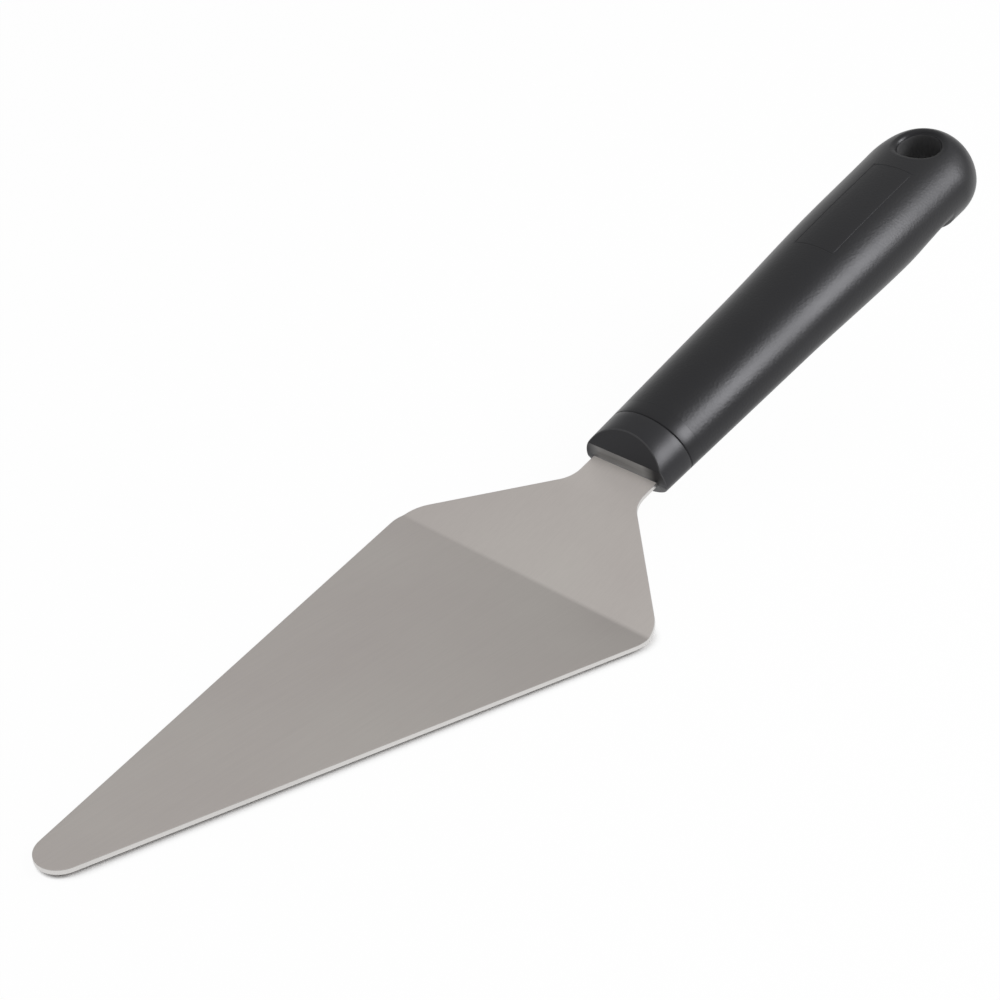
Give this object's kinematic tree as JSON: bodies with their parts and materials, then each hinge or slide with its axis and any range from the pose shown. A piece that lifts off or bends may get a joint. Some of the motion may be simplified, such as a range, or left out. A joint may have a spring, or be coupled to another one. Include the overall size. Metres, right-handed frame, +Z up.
{
  "type": "cake server",
  "caption": "Cake server with a bent pointed stainless steel blade and a black moulded handle with a hanging hole",
  "frame": {"origin": "middle of the flat underside of the blade, halfway between its tip and the heel bend", "axes": "+X runs along the blade towards the handle, +Y across the blade, +Z up from the blade's flat underside"},
  "size_m": [0.2771, 0.0688, 0.0574],
  "materials": {
    "steel": "satin brushed",
    "core_plastic": "satin",
    "grip_plastic": "fine satin texture"
  },
  "bodies": {
    "root": {"blade": "steel", "handle_core": "core_plastic", "grip": "grip_plastic"}
  },
  "joints": []
}
